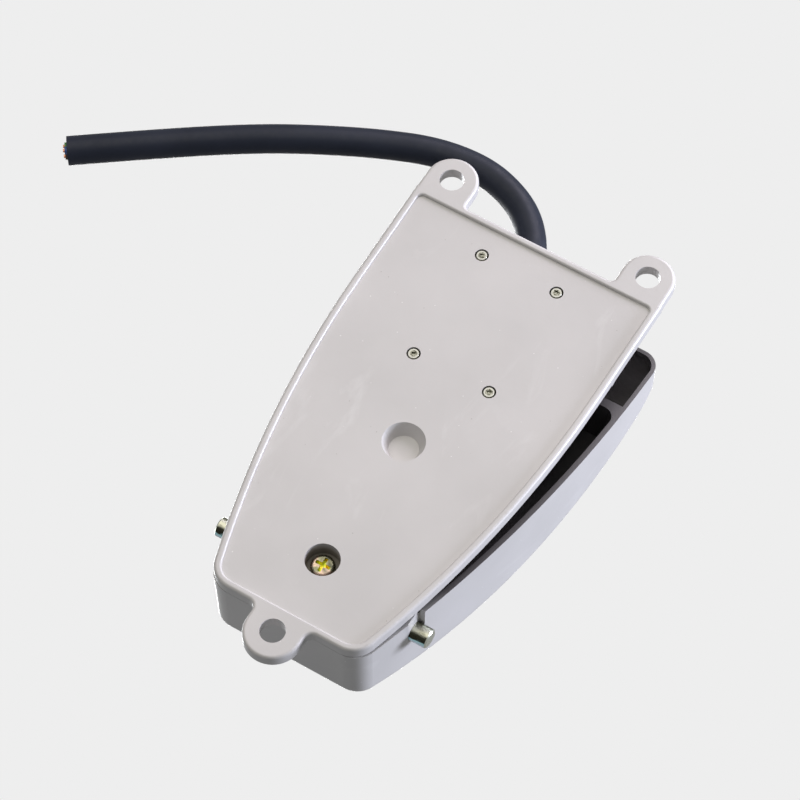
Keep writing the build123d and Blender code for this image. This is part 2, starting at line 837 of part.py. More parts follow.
strip_top = box_deck + contact_strip_thickness
for side, name in ((1, "left"), (-1, "right")):
    x = side * contact_spread
    with BuildPart() as contact:
        with BuildSketch(Plane.XY.offset(box_deck)):
            with Locations((x, plunger_y - contact_strip_width / 2)):
                Rectangle(
                    contact_strip_width, contact_strip_length, align=(Align.CENTER, Align.MIN)
                )
        extrude(amount=contact_strip_thickness)
        fillet(contact.edges().filter_by(Axis.Z), radius=contact_strip_width / 5)
        with BuildSketch(Plane.XY.offset(box_deck)):
            with Locations((x, terminal_y)):
                Circle(terminal_screw_radius + thread_clearance)
        extrude(amount=contact_strip_thickness, mode=Mode.SUBTRACT)
        with BuildSketch(Plane.XY.offset(strip_top)):
            with Locations((x, plunger_y)):
                Circle(contact_button_radius)
        extrude(amount=contact_button_height)
    save(contact, f"fixed_contact_{name}")
    pan_screw(
        f"terminal_screw_{name}",
        (x, terminal_y),
        strip_top,
        box_deck - terminal_hole_depth + thread_clearance,
        terminal_screw_radius,
        terminal_head_radius,
        terminal_head_height,
    )

with BuildPart() as earth_tag:
    with BuildSketch(Plane.XY.offset(box_deck)):
        with Locations((0, terminal_y)):
            Circle(earth_tag_radius)
            Rectangle(earth_tag_radius, earth_tag_tail, align=(Align.CENTER, Align.MIN))
            Circle(terminal_screw_radius + thread_clearance, mode=Mode.SUBTRACT)
    extrude(amount=earth_tag_thickness)
save(earth_tag, "earth_tag")
pan_screw(
    "earth_screw",
    (0, terminal_y),
    box_deck + earth_tag_thickness,
    base_plate - earth_hole_depth + thread_clearance,
    terminal_screw_radius,
    terminal_head_radius,
    terminal_head_height,
)


# Adjusting screw that presses the plunger, with its lock nut under the boss of the pedal
with BuildPart() as actuator:
    actuator_tip = plunger_top + actuator_gap
    with BuildSketch(Plane.XY.offset(actuator_tip)):
        with Locations((0, plunger_y)):
            Circle(actuator_radius)
    extrude(amount=tread_z(plunger_y) - actuator_skin - thread_clearance - actuator_tip)
    fillet(actuator.faces().sort_by(Axis.Z)[0].edges(), radius=actuator_radius / 2)
save(actuator, "actuator_screw")

with BuildPart() as nut:
    with BuildSketch(Plane.XY.offset(actuator_boss_z)):
        with Locations((0, plunger_y)):
            RegularPolygon(nut_flats / 2, 6, major_radius=False)
            Circle(actuator_radius + thread_clearance, mode=Mode.SUBTRACT)
    extrude(amount=-nut_thickness)
save(nut, "lock_nut")


# Grommet in the rear wall of the box, the cord, and its three cores at both ends
with BuildPart() as grommet:
    with BuildSketch(Plane.YZ):
        with Locations((0, cord_height)):
            Polygon(
                (box_rear_y - box_wall, grommet_core_bore),
                (box_rear_y - box_wall, grommet_spigot_radius),
                (box_rear_y, grommet_spigot_radius),
                (box_rear_y, grommet_radius),
                (box_rear_y + grommet_length, grommet_mouth_radius),
                (box_rear_y + grommet_length, cord_diameter / 2),
                (cord_start_y, cord_diameter / 2),
                (cord_start_y, grommet_core_bore),
                align=None,
            )
    revolve(axis=Axis((0, 0, cord_height), (0, 1, 0)))
save(grommet, "cord_grommet")

cord_points = [
    (0, cord_start_y, cord_height),
    (0, cord_start_y + 9.9, cord_height),
    (3.4, 74.45, 9.5),
    (9.8, 82.45, 9.5),
    (18.4, 87.85, 9.5),
    (30.2, 90.85, 9.2),
    (45.5, 88.85, 8.4),
    (60.8, 81.95, 7.0),
    (77.0, 72.95, 5.6),
    (94.0, 62.65, 4.7),
    (118.0, 46.05, 4.6),
    (140.3, 29.65, 4.6),
]


def route_line(points):
    # straight runs joined by tangent arcs, each as large as the two runs beside it allow
    stations = [Vector(*point) for point in points]
    runs = [b - a for a, b in zip(stations, stations[1:])]
    radii = []
    for before, after in zip(runs, runs[1:]):
        shorter = min(before.length, after.length)
        radii.append(0.45 * shorter / tan(radians(before.get_angle(after) / 2)))
    return FilletPolyline(*points, radius=radii), radii


with BuildPart() as cord:
    with BuildLine() as route:
        line, radii = route_line(cord_points)
    with BuildSketch(Plane(route.line @ 0, z_dir=route.line % 0)):
        Circle(cord_diameter / 2)
    sweep(path=route.line)
save(cord, "cord")
print("cord length", round(line.length, 1), "radii", [round(r, 1) for r in radii])
print("cord section times length", round(pi * cord_diameter**2 / 4 * line.length, 1))

core_ends = (
    (contact_spread, terminal_y + terminal_head_radius + thread_clearance, strip_top),
    (-contact_spread, terminal_y + terminal_head_radius + thread_clearance, strip_top),
    (0, terminal_y + terminal_head_radius + thread_clearance, box_deck + earth_tag_thickness),
)
cut_end = Plane(route.line @ 1, z_dir=route.line % 1, x_dir=(0, 0, 1))
for number, (end_x, end_y, end_z) in enumerate(core_ends):
    turn = radians(120 * number + 30)
    across = core_circle_radius * cos(turn)
    up = core_circle_radius * sin(turn)
    lying_z = end_z + core_radius + thread_clearance
    with BuildPart() as core:
        with BuildLine() as inner:
            route_line(
                [
                    (across, cord_start_y, cord_height + up),
                    (across, box_rear_y - box_wall - core_bend_inside, cord_height + up),
                    (end_x, end_y + 2 * core_radius, lying_z),
                    (end_x, end_y, lying_z),
                ]
            )
        with BuildSketch(Plane(inner.line @ 0, z_dir=inner.line % 0)):
            Circle(core_radius)
        sweep(path=inner.line)
    save(core, f"core_{number + 1}")
    spot = (core_circle_radius * cos(turn), core_circle_radius * sin(turn))
    with BuildPart() as tip:
        with BuildSketch(cut_end):
            with Locations(spot):
                Circle(core_radius)
        extrude(amount=core_end_length)
    save(tip, f"core_end_{number + 1}")
    with BuildPart() as copper:
        with BuildSketch(cut_end.offset(core_end_length)):
            with Locations(spot):
                Circle(copper_radius)
        extrude(amount=copper_end_length)
    save(copper, f"copper_end_{number + 1}")
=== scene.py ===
import json
import bpy
import numpy as np
from mathutils import Matrix, Vector


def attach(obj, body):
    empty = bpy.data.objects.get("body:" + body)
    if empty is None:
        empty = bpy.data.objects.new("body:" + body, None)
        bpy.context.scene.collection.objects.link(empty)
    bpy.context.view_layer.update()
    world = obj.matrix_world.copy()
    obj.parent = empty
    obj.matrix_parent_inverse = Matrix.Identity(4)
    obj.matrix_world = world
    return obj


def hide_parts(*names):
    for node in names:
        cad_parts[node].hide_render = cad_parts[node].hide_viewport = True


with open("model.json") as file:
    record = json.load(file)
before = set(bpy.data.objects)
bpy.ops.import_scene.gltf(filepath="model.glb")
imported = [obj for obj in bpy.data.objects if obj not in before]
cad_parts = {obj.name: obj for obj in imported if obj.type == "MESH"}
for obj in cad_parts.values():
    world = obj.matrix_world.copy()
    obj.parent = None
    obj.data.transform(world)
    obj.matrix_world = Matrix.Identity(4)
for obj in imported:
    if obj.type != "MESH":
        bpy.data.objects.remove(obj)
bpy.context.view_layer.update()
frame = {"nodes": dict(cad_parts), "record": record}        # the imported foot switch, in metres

nodes = frame["nodes"]
scene = bpy.context.scene
print("frame loaded with", len(nodes), "nodes")


# Camera, fitted to the holes, screws and edges of the casting

cameraView = {
    "place": (-0.2503, -0.41525, -0.8562),
    "ahead": (0.26118, 0.42486, 0.86676),
    "right": (-0.85690, 0.51545, 0.00555),
    "lens": 154.2,
    "sensor": 36.0,
    "clipStart": 0.05,
    "clipEnd": 20.0,
}


def makeCamera(view):
    cameraData = bpy.data.cameras.new("pictureCamera")
    cameraData.lens = view["lens"]
    cameraData.sensor_width = view["sensor"]
    cameraData.clip_start = view["clipStart"]
    cameraData.clip_end = view["clipEnd"]
    camera = bpy.data.objects.new("pictureCamera", cameraData)
    ahead = Vector(view["ahead"]).normalized()
    right = Vector(view["right"])
    right = (right - right.dot(ahead) * ahead).normalized()
    up = right.cross(ahead)
    turn = Matrix((right, up, -ahead)).transposed().to_4x4()
    camera.matrix_world = Matrix.Translation(view["place"]) @ turn
    scene.collection.objects.link(camera)
    scene.camera = camera


makeCamera(cameraView)


# Small helpers for node materials

def startMaterial(name):
    material = bpy.data.materials.new(name)
    material.use_nodes = True
    tree = material.node_tree
    shader = tree.nodes["Principled BSDF"]
    coords = tree.nodes.new("ShaderNodeTexCoord")
    return material, tree, shader, coords.outputs["Object"]


def stretched(tree, coords, scale):
    mapping = tree.nodes.new("ShaderNodeMapping")
    mapping.inputs["Scale"].default_value = scale
    tree.links.new(coords, mapping.inputs["Vector"])
    return mapping.outputs["Vector"]


def noise(tree, coords, scale, detail=3.0, roughness=0.5, distortion=0.0):
    texture = tree.nodes.new("ShaderNodeTexNoise")
    texture.inputs["Scale"].default_value = scale
    texture.inputs["Detail"].default_value = detail
    texture.inputs["Roughness"].default_value = roughness
    texture.inputs["Distortion"].default_value = distortion
    tree.links.new(coords, texture.inputs["Vector"])
    return texture.outputs["Fac"]


def cells(tree, coords, scale):
    texture = tree.nodes.new("ShaderNodeTexVoronoi")
    texture.inputs["Scale"].default_value = scale
    tree.links.new(coords, texture.inputs["Vector"])
    return texture.outputs["Distance"]


def ramp(tree, value, stops):
    node = tree.nodes.new("ShaderNodeValToRGB")
    elements = node.color_ramp.elements
    while len(elements) < len(stops):
        elements.new(0.5)
    for element, (place, colour) in zip(elements, stops):
        element.position = place
        element.color = (*colour, 1.0)
    tree.links.new(value, node.inputs["Fac"])
    return node.outputs["Color"]


def twoTone(tree, value, low, high):
    return ramp(tree, value, [(0.35, low), (0.65, high)])


def between(tree, value, fromLow, fromHigh, toLow, toHigh):
    node = tree.nodes.new("ShaderNodeMapRange")
    sockets = ("From Min", "From Max", "To Min", "To Max")
    for socket, number in zip(sockets, (fromLow, fromHigh, toLow, toHigh)):
        node.inputs[socket].default_value = number
    tree.links.new(value, node.inputs["Value"])
    return node.outputs["Result"]


def rising(tree, value, edge, blend):
    # 0 below the edge, 1 past the blend
    return between(tree, value, edge, edge + blend, 0.0, 1.0)


def falling(tree, value, edge, blend):
    # 1 below the edge, 0 past the blend
    return between(tree, value, edge, edge + blend, 1.0, 0.0)


def varied(tree, value, limits):
    # a noise's usual span, spread over the limits
    return between(tree, value, 0.3, 0.7, *limits)


def maths(tree, operation, first, second=0.0):
    node = tree.nodes.new("ShaderNodeMath")
    node.operation = operation
    for socket, value in zip(node.inputs, (first, second)):
        if isinstance(value, (int, float)):
            socket.default_value = value
        else:
            tree.links.new(value, socket)
    return node.outputs["Value"]


def mixed(tree, share, first, second):
    node = tree.nodes.new("ShaderNodeMix")
    node.data_type = "RGBA"
    for socket, value in zip((node.inputs[0], node.inputs[6], node.inputs[7]), (share, first, second)):
        if isinstance(value, tuple):
            socket.default_value = (*value, 1.0)
        else:
            tree.links.new(value, socket)
    return node.outputs[2]


def bump(tree, height, strength, distance, before=None):
    node = tree.nodes.new("ShaderNodeBump")
    node.inputs["Strength"].default_value = strength
    node.inputs["Distance"].default_value = distance
    tree.links.new(height, node.inputs["Height"])
    if before is not None:
        tree.links.new(before, node.inputs["Normal"])
    return node.outputs["Normal"]


def separated(tree, vector):
    node = tree.nodes.new("ShaderNodeSeparateXYZ")
    tree.links.new(vector, node.inputs[0])
    return node.outputs["X"], node.outputs["Y"], node.outputs["Z"]


def radiusFrom(tree, across, along, middle):
    # sqrt((across - a)^2 + (along - b)^2)
    first = maths(tree, "POWER", maths(tree, "SUBTRACT", across, middle[0]), 2.0)
    second = maths(tree, "POWER", maths(tree, "SUBTRACT", along, middle[1]), 2.0)
    return maths(tree, "SQRT", maths(tree, "ADD", first, second))


def scattered(tree, coords, spots):
    # small round spots, and a mask that keeps them only where a slow noise is high
    dots = between(tree, cells(tree, coords, spots["scale"]), spots["inner"], spots["outer"], 1.0, 0.0)
    patches = noise(tree, coords, spots["patchScale"], 1.0)
    chosen = between(tree, patches, spots["patchFrom"], spots["patchTo"], 0.0, spots["share"])
    return dots, maths(tree, "MULTIPLY", dots, chosen)


def setShader(tree, shader, **values):
    for name, value in values.items():
        socket = shader.inputs[name.replace("_", " ")]
        if isinstance(value, (int, float)):
            socket.default_value = value
        else:
            tree.links.new(value, socket)


# Light warm-grey enamel over the die castings; a near-black painted shade over the pedal's inner faces, and in the
# lock screw's bore a bare olive-brown wall darkened with depth by painted shade, both with the coat thinned

castEnamel = {
    "low": (0.560, 0.545, 0.535),
    "high": (0.610, 0.592, 0.582),
    "driftScale": 26.0,
    "smear": (0.70, 0.69, 0.68),
    "smearStretch": (1.0, 0.35, 1.0),
    "smearNoise": (85.0, 5.0, 0.6, 0.8),
    "smearFrom": 0.60,
    "smearTo": 0.74,
    "smearShare": 0.45,
    "speck": (0.30, 0.28, 0.26),
    "specks": {
        "scale": 330.0, "inner": 0.036, "outer": 0.060,
        "patchScale": 140.0, "patchFrom": 0.56, "patchTo": 0.60, "share": 0.75,
    },
    "fleck": (0.86, 0.85, 0.84),
    "flecks": {
        "scale": 420.0, "inner": 0.05, "outer": 0.08,
        "patchScale": 170.0, "patchFrom": 0.58, "patchTo": 0.62, "share": 1.0,
    },
    "swellScale": 120.0,
    "swellBump": (0.10, 0.0005),
    "peelScale": 900.0,
    "peelBump": (0.06, 0.0002),
    "speckBump": (0.15, 0.0001),
    "glossScale": 60.0,
    "roughness": (0.34, 0.44),
    "coatWeight": 0.30,
    "thinCoatWeight": 0.05,
    "coatRoughness": 0.16,
    "coatIor": 1.5,
}

# near-black painted shade for the pedal's inner faces
castInsideShade = {
    "colour": (0.105, 0.097, 0.100),
    "lowest": 0.0055,
    "heightBlend": 0.002,
    "inwardFrom": -0.004,
    "inwardTo": -0.008,
    "downFrom": -0.35,
    "downTo": -0.55,
}

# olive-brown bore wall: bare casting, darkened with depth by painted shade
boreBareAndShade = {
    "colour": (0.260, 0.235, 0.195),
    "middle": (0.0, -0.0506),
    "radius": 0.0054,
    "radiusBlend": 0.0001,
    "mouth": 0.0018,
    "mouthBlend": 0.0027,
    "top": 0.009,
    "topBlend": 0.001,
}


def insideShadeMask(tree, coords, inside):
    # painted shade: high on the casting, and facing its middle line or facing down, the paint turns near-black
    across, along, height = separated(tree, coords)
    normalX, normalY, normalZ = separated(tree, coords.node.outputs["Normal"])
    sideways = maths(tree, "MULTIPLY", across, normalX)
    lengthways = maths(tree, "MULTIPLY", along, normalY)
    outward = maths(tree, "ADD", sideways, lengthways)
    inward = between(tree, outward, inside["inwardFrom"], inside["inwardTo"], 0.0, 1.0)
    down = between(tree, normalZ, inside["downFrom"], inside["downTo"], 0.0, 1.0)
    high = rising(tree, height, inside["lowest"], inside["heightBlend"])
    return maths(tree, "MULTIPLY", maths(tree, "MAXIMUM", inward, down), high)


def boreBareAndShadeMask(tree, coords, bore):
    across, along, height = separated(tree, coords)
    radius = radiusFrom(tree, across, along, bore["middle"])
    near = falling(tree, radius, bore["radius"], bore["radiusBlend"])
    sunk = rising(tree, height, bore["mouth"], bore["mouthBlend"])
    under = falling(tree, height, bore["top"], bore["topBlend"])
    return maths(tree, "MULTIPLY", near, maths(tree, "MINIMUM", sunk, under))


def makeCastEnamel(look, inside, bore):
    material, tree, shader, coords = startMaterial("castEnamel")
    colour = twoTone(tree, noise(tree, coords, look["driftScale"], 4.0), look["low"], look["high"])
    smears = noise(tree, stretched(tree, coords, look["smearStretch"]), *look["smearNoise"])
    rubbed = between(tree, smears, look["smearFrom"], look["smearTo"], 0.0, look["smearShare"])
    colour = mixed(tree, rubbed, colour, look["smear"])
    dots, speckMask = scattered(tree, coords, look["specks"])
    colour = mixed(tree, speckMask, colour, look["speck"])
    colour = mixed(tree, scattered(tree, coords, look["flecks"])[1], colour, look["fleck"])
    # painted shade over the inner faces
    paintedInsideShade = insideShadeMask(tree, coords, inside)
    colour = mixed(tree, paintedInsideShade, colour, inside["colour"])
    # bare bore wall with painted shade deeper down
    boreBareAndShaded = boreBareAndShadeMask(tree, coords, bore)
    colour = mixed(tree, boreBareAndShaded, colour, bore["colour"])
    normal = bump(tree, noise(tree, coords, look["swellScale"], 2.0), *look["swellBump"])
    normal = bump(tree, noise(tree, coords, look["peelScale"], 2.0), *look["peelBump"], normal)
    normal = bump(tree, dots, *look["speckBump"], normal)
    gloss = varied(tree, noise(tree, coords, look["glossScale"]), look["roughness"])
    setShader(tree, shader, Base_Color=colour, Roughness=gloss, Normal=normal)
    paintedShadeAndBare = maths(tree, "MAXIMUM", paintedInsideShade, boreBareAndShaded)
    coat = between(tree, paintedShadeAndBare, 0.0, 1.0, look["coatWeight"], look["thinCoatWeight"])
    setShader(tree, shader, Coat_Weight=coat, Coat_Roughness=look["coatRoughness"], Coat_IOR=look["coatIor"])
    return material


# Metals

springSteel = {
    "name": "springSteel",
    "low": (0.20, 0.20, 0.21),
    "high": (0.33, 0.32, 0.32),
    "driftScale": 180.0,
    "stretch": (1.0, 1.0, 1.0),
    "roughness": (0.26, 0.42),
}

contactBrass = {
    "name": "contactBrass",
    "low": (0.62, 0.45, 0.18),
    "high": (0.78, 0.58, 0.26),
    "driftScale": 40.0,
    "stretch": (1.0, 0.1, 1.0),
    "roughness": (0.24, 0.38),
}

copperStrand = {
    "name": "copperStrand",
    "low": (0.62, 0.30, 0.18),
    "high": (0.80, 0.42, 0.27),
    "driftScale": 400.0,
    "stretch": (1.0, 1.0, 1.0),
    "roughness": (0.24, 0.40),
}

metalGrain = {
    "scale": 500.0,
    "bump": (0.10, 0.0001),
}


def makeMetal(look, grainLook):
    material, tree, shader, coords = startMaterial(look["name"])
    colour = twoTone(tree, noise(tree, coords, look["driftScale"], 4.0), look["low"], look["high"])
    grain = noise(tree, stretched(tree, coords, look["stretch"]), grainLook["scale"], 4.0, 0.6)
    setShader(tree, shader, Base_Color=colour, Metallic=1.0)
    setShader(tree, shader, Roughness=varied(tree, grain, look["roughness"]))
    setShader(tree, shader, Normal=bump(tree, grain, *grainLook["bump"]))
    return material


yellowZinc = {
    # olive yellow-zinc tint, with a pinkish-white painted glint at the third stop
    "stops": [
        (0.34, (0.11, 0.11, 0.08)),
        (0.46, (0.30, 0.29, 0.19)),
        (0.55, (0.62, 0.45, 0.36)),
        (0.66, (0.13, 0.14, 0.10)),
    ],
    "tintNoise": (260.0, 3.0, 0.5, 0.6),
    "recessStops": [
        (0.35, (0.70, 0.36, 0.05)),
        (0.50, (0.66, 0.66, 0.05)),
        (0.65, (0.36, 0.42, 0.04)),
    ],
    "recessNoise": (520.0, 3.0, 0.5, 0.6),
    "headMiddle": (0.0, -0.0506),
    "headBottom": 0.0041,
    "domeRise": 112.0,
    "recessDepth": 0.00008,
    "recessRadius": 0.0029,
    "blend": 0.0001,
    "grainScale": 1600.0,
    "grainBump": (0.12, 0.0001),
    "roughness": (0.20, 0.34),
}


def makeYellowZinc(look):
    material, tree, shader, coords = startMaterial("yellowZinc")
    across, along, height = separated(tree, coords)
    radius = radiusFrom(tree, across, along, look["headMiddle"])
    # depth below the domed head: z - bottom - rise * r^2
    dome = maths(tree, "MULTIPLY", maths(tree, "POWER", radius, 2.0), look["domeRise"])
    depth = maths(tree, "SUBTRACT", maths(tree, "SUBTRACT", height, look["headBottom"]), dome)
    sunk = rising(tree, depth, look["recessDepth"], look["blend"])
    near = falling(tree, radius, look["recessRadius"], look["blend"])
    # zinc tint with painted glints
    tintAndGlints = ramp(tree, noise(tree, coords, *look["tintNoise"]), look["stops"])
    recess = ramp(tree, noise(tree, coords, *look["recessNoise"]), look["recessStops"])
    colour = mixed(tree, maths(tree, "MULTIPLY", sunk, near), tintAndGlints, recess)
    grain = noise(tree, coords, look["grainScale"])
    setShader(tree, shader, Base_Color=colour, Metallic=1.0)
    setShader(tree, shader, Roughness=varied(tree, grain, look["roughness"]))
    setShader(tree, shader, Normal=bump(tree, grain, *look["grainBump"]))
    return material


clearZinc = {
    "stops": [(0.35, (0.60, 0.60, 0.57)), (0.65, (0.78, 0.78, 0.74))],
    "driftScale": 150.0,
    "pattern": (0.0127, 0.01965),
    "patternMiddle": 0.04005,
    "endHeight": 0.0030,
    # dark rim: painted shade where the screw end meets its hole
    "rim": (0.10, 0.095, 0.055),
    "rimRadius": 0.00160,
    "ring": (0.44, 0.44, 0.41),
    # core: mottled, darkened by painted shade in the hollow end
    "core": [(0.40, (0.05, 0.05, 0.035)), (0.60, (0.34, 0.34, 0.29))],
    "coreScale": 2200.0,
    "coreRadius": 0.00105,
    "blend": 0.0001,
    "grainScale": 900.0,
    "grainBump": (0.15, 0.0001),
    "roughness": (0.20, 0.34),
}


def makeClearZinc(look):
    # the four box screws' ends get a dark rim of painted shade, a brighter ring and a rough core darkened by painted
    # shade in its hollow, mirrored about their pattern's middle
    material, tree, shader, coords = startMaterial("clearZinc")
    across, along, height = separated(tree, coords)
    side = maths(tree, "ABSOLUTE", across)
    row = maths(tree, "ABSOLUTE", maths(tree, "SUBTRACT", along, look["patternMiddle"]))
    radius = radiusFrom(tree, side, row, look["pattern"])
    low = falling(tree, height, look["endHeight"], look["blend"])
    core = ramp(tree, noise(tree, coords, look["coreScale"], 2.0), look["core"])
    ends = mixed(tree, rising(tree, radius, look["coreRadius"], look["blend"]), core, look["ring"])
    ends = mixed(tree, rising(tree, radius, look["rimRadius"], look["blend"]), ends, look["rim"])
    plain = ramp(tree, noise(tree, coords, look["driftScale"], 4.0), look["stops"])
    grain = noise(tree, coords, look["grainScale"], 4.0, 0.6)
    setShader(tree, shader, Base_Color=mixed(tree, low, plain, ends), Metallic=1.0)
    setShader(tree, shader, Roughness=varied(tree, grain, look["roughness"]))
    setShader(tree, shader, Normal=bump(tree, grain, *look["grainBump"]))
    return material


axleSteel = {
    "middle": (-0.0506, 0.015),
    "turns": (-2.2, 1.3),
    # bands by angle round the axle: painted highlights (cyan stripe, bright patch) and painted shade (dark bands)
    # over the olive tint
    "stops": [
        (0.10, (0.22, 0.23, 0.20)),
        (0.15, (0.64, 0.72, 0.84)),
        (0.28, (0.46, 0.78, 0.82)),
        (0.32, (0.030, 0.030, 0.020)),
        (0.46, (0.065, 0.065, 0.045)),
        (0.56, (0.50, 0.50, 0.40)),
        (0.68, (0.62, 0.62, 0.52)),
        (0.80, (0.30, 0.31, 0.23)),
        (0.97, (0.09, 0.09, 0.065)),
    ],
    "end": (0.58, 0.60, 0.52),
    "endFrom": 0.03488,
    "endBlend": 0.00005,
    "streakStretch": (0.35, 1.0, 1.0),
    "streakScale": 900.0,
    "streakShift": (-0.07, 0.07),
    "streakBump": (0.12, 0.0001),
    "roughness": (0.24, 0.38),
}


def makeAxleSteel(look):
    # drawn steel with a thin zinc film: the colour runs in bands round the axle, an olive zinc tint with a painted
    # cyan highlight stripe, a painted bright highlight and dark bands of painted shade
    material, tree, shader, coords = startMaterial("axleSteel")
    across, along, height = separated(tree, coords)
    sideways = maths(tree, "SUBTRACT", along, look["middle"][0])
    below = maths(tree, "SUBTRACT", look["middle"][1], height)
    turn = maths(tree, "ARCTAN2", sideways, below)
    place = between(tree, turn, *look["turns"], 0.0, 1.0)
    streaks = noise(tree, stretched(tree, coords, look["streakStretch"]), look["streakScale"], 4.0, 0.6)
    place = maths(tree, "ADD", place, varied(tree, streaks, look["streakShift"]))
    tips = rising(tree, maths(tree, "ABSOLUTE", across), look["endFrom"], look["endBlend"])
    colour = mixed(tree, tips, ramp(tree, place, look["stops"]), look["end"])
    setShader(tree, shader, Base_Color=colour, Metallic=1.0)
    setShader(tree, shader, Roughness=varied(tree, streaks, look["roughness"]))
    setShader(tree, shader, Normal=bump(tree, streaks, *look["streakBump"]))
    return material


# Mouldings, rubber and the cord's cores

mouldings = {
    # black switch box moulding; its near-black also stands in as painted shade for the deep gap under the pedal
    "box_moulding": {
        "name": "boxMouldingAndShade", "low": (0.012, 0.012, 0.013), "high": (0.022, 0.021, 0.020),
        "roughness": (0.34, 0.48), "grainBump": 0.10, "coat": 0.0,
    },
    "plunger_moulding": {
        "name": "plungerMoulding", "low": (0.62, 0.58, 0.48), "high": (0.70, 0.66, 0.56),
        "roughness": (0.26, 0.36), "grainBump": 0.10, "coat": 0.2,
    },
    "soft_rubber": {
        "name": "softRubber", "low": (0.010, 0.010, 0.011), "high": (0.018, 0.018, 0.019),
        "roughness": (0.52, 0.68), "grainBump": 0.2, "coat": 0.0,
    },
    "core_brown": {
        "name": "coreBrown", "low": (0.10, 0.045, 0.020), "high": (0.14, 0.065, 0.030),
        "roughness": (0.30, 0.42), "grainBump": 0.10, "coat": 0.15,
    },
    "core_blue": {
        "name": "coreBlue", "low": (0.020, 0.070, 0.28), "high": (0.030, 0.095, 0.36),
        "roughness": (0.30, 0.42), "grainBump": 0.10, "coat": 0.15,
    },
    "core_green": {
        "name": "coreGreen", "low": (0.060, 0.22, 0.030), "high": (0.085, 0.30, 0.045),
        "roughness": (0.30, 0.42), "grainBump": 0.10, "coat": 0.15,
    },
}

mouldedSkin = {
    "mottleScale": 320.0,
    "grainScale": 1400.0,
    "grainDistance": 0.0001,
    "glossScale": 90.0,
    "coatRoughness": 0.15,
}


def makeMoulding(look, skin):
    material, tree, shader, coords = startMaterial(look["name"])
    colour = twoTone(tree, noise(tree, coords, skin["mottleScale"], 4.0), look["low"], look["high"])
    grain = noise(tree, coords, skin["grainScale"])
    gloss = varied(tree, noise(tree, coords, skin["glossScale"]), look["roughness"])
    setShader(tree, shader, Base_Color=colour, Roughness=gloss)
    setShader(tree, shader, Coat_Weight=look["coat"], Coat_Roughness=skin["coatRoughness"])
    setShader(tree, shader, Normal=bump(tree, grain, look["grainBump"], skin["grainDistance"]))
    return material


# Cord jacket: smooth dark rubber with a little lint

cordJacket = {
    "low": (0.0070, 0.0100, 0.0200),
    "high": (0.0110, 0.0145, 0.0270),
    "driftScale": 70.0,
    "dust": (0.070, 0.075, 0.085),
    "lint": {
        "scale": 520.0, "inner": 0.03, "outer": 0.06,
        "patchScale": 210.0, "patchFrom": 0.60, "patchTo": 0.64, "share": 0.8,
    },
    "streakNoise": (420.0, 4.0, 0.65),
    "streakBump": (0.10, 0.0002),
    "grainScale": 1800.0,
    "grainBump": (0.06, 0.0001),
    "roughness": (0.42, 0.58),
    "specular": 0.28,
}


def makeCordJacket(look):
    material, tree, shader, coords = startMaterial("cordJacket")
    colour = twoTone(tree, noise(tree, coords, look["driftScale"], 4.0), look["low"], look["high"])
    colour = mixed(tree, scattered(tree, coords, look["lint"])[1], colour, look["dust"])
    streaks = noise(tree, coords, *look["streakNoise"])
    setShader(tree, shader, Base_Color=colour, Roughness=varied(tree, streaks, look["roughness"]))
    normal = bump(tree, streaks, *look["streakBump"])
    normal = bump(tree, noise(tree, coords, look["grainScale"], 2.0), *look["grainBump"], normal)
    setShader(tree, shader, Normal=normal, Specular_IOR_Level=look["specular"])
    return material


finishes = {
    "casting_paint": makeCastEnamel(castEnamel, castInsideShade, boreBareAndShade),
    "axle_steel": makeAxleSteel(axleSteel),
    "yellow_zinc": makeYellowZinc(yellowZinc),
    "clear_zinc": makeClearZinc(clearZinc),
    "spring_steel": makeMetal(springSteel, metalGrain),
    "contact_brass": makeMetal(contactBrass, metalGrain),
    "copper_strand": makeMetal(copperStrand, metalGrain),
    "cord_jacket": makeCordJacket(cordJacket),
}
finishes.update({slot: makeMoulding(look, mouldedSkin) for slot, look in mouldings.items()})


def dressNodes():
    for part in frame["record"]["subparts"]:
        node = nodes[part["node"]]
        node.data.materials.clear()
        node.data.materials.append(finishes[part["material_slot"]])


dressNodes()
print("materials made:", len(finishes))


# Cord: one smooth spline over the same points as the solid's route

cordFacts = {
    "diameter": 0.009,
    "length": 0.1795,
    "roundSteps": 10,
    "lengthSteps": 16,
    "order": 3,
    "points": [
        (0, 0.0552, 0.0095),
        (0, 0.0651, 0.0095),
        (0.0034, 0.07445, 0.0095),
        (0.0098, 0.08245, 0.0095),
        (0.0184, 0.08785, 0.0095),
        (0.0302, 0.09085, 0.0092),
        (0.0455, 0.08885, 0.0084),
        (0.0608, 0.08195, 0.0070),
        (0.0770, 0.07295, 0.0056),
        (0.0940, 0.06265, 0.0047),
        (0.1180, 0.04605, 0.0046),
        (0.1403, 0.02965, 0.0046),
    ],
}


def makeCord(facts):
    curve = bpy.data.curves.new("cordLine", "CURVE")
    curve.dimensions = "3D"
    curve.bevel_depth = facts["diameter"] / 2
    curve.bevel_resolution = facts["roundSteps"]
    curve.resolution_u = facts["lengthSteps"]
    curve.use_fill_caps = True
    spline = curve.splines.new("NURBS")
    spline.points.add(len(facts["points"]) - 1)
    flat = np.array([(*point, 1.0) for point in facts["points"]]).ravel()
    spline.points.foreach_set("co", flat)
    spline.order_u = facts["order"]
    spline.use_endpoint_u = True
    curve.materials.append(finishes["cord_jacket"])
    cord = bpy.data.objects.new("cordLine", curve)
    scene.collection.objects.link(cord)
    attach(cord, "base")
    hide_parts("cord")


makeCord(cordFacts)
print("cord laid")


# Floor that shows only its top side, so that the picture's camera sees the underside through it

floorFacts = {
    "level": -0.0004,
    "half": 3.0,
    "colour": (0.72, 0.72, 0.72),
    "fadeFrom": 0.9,
    "fadeTo": 2.4,
}


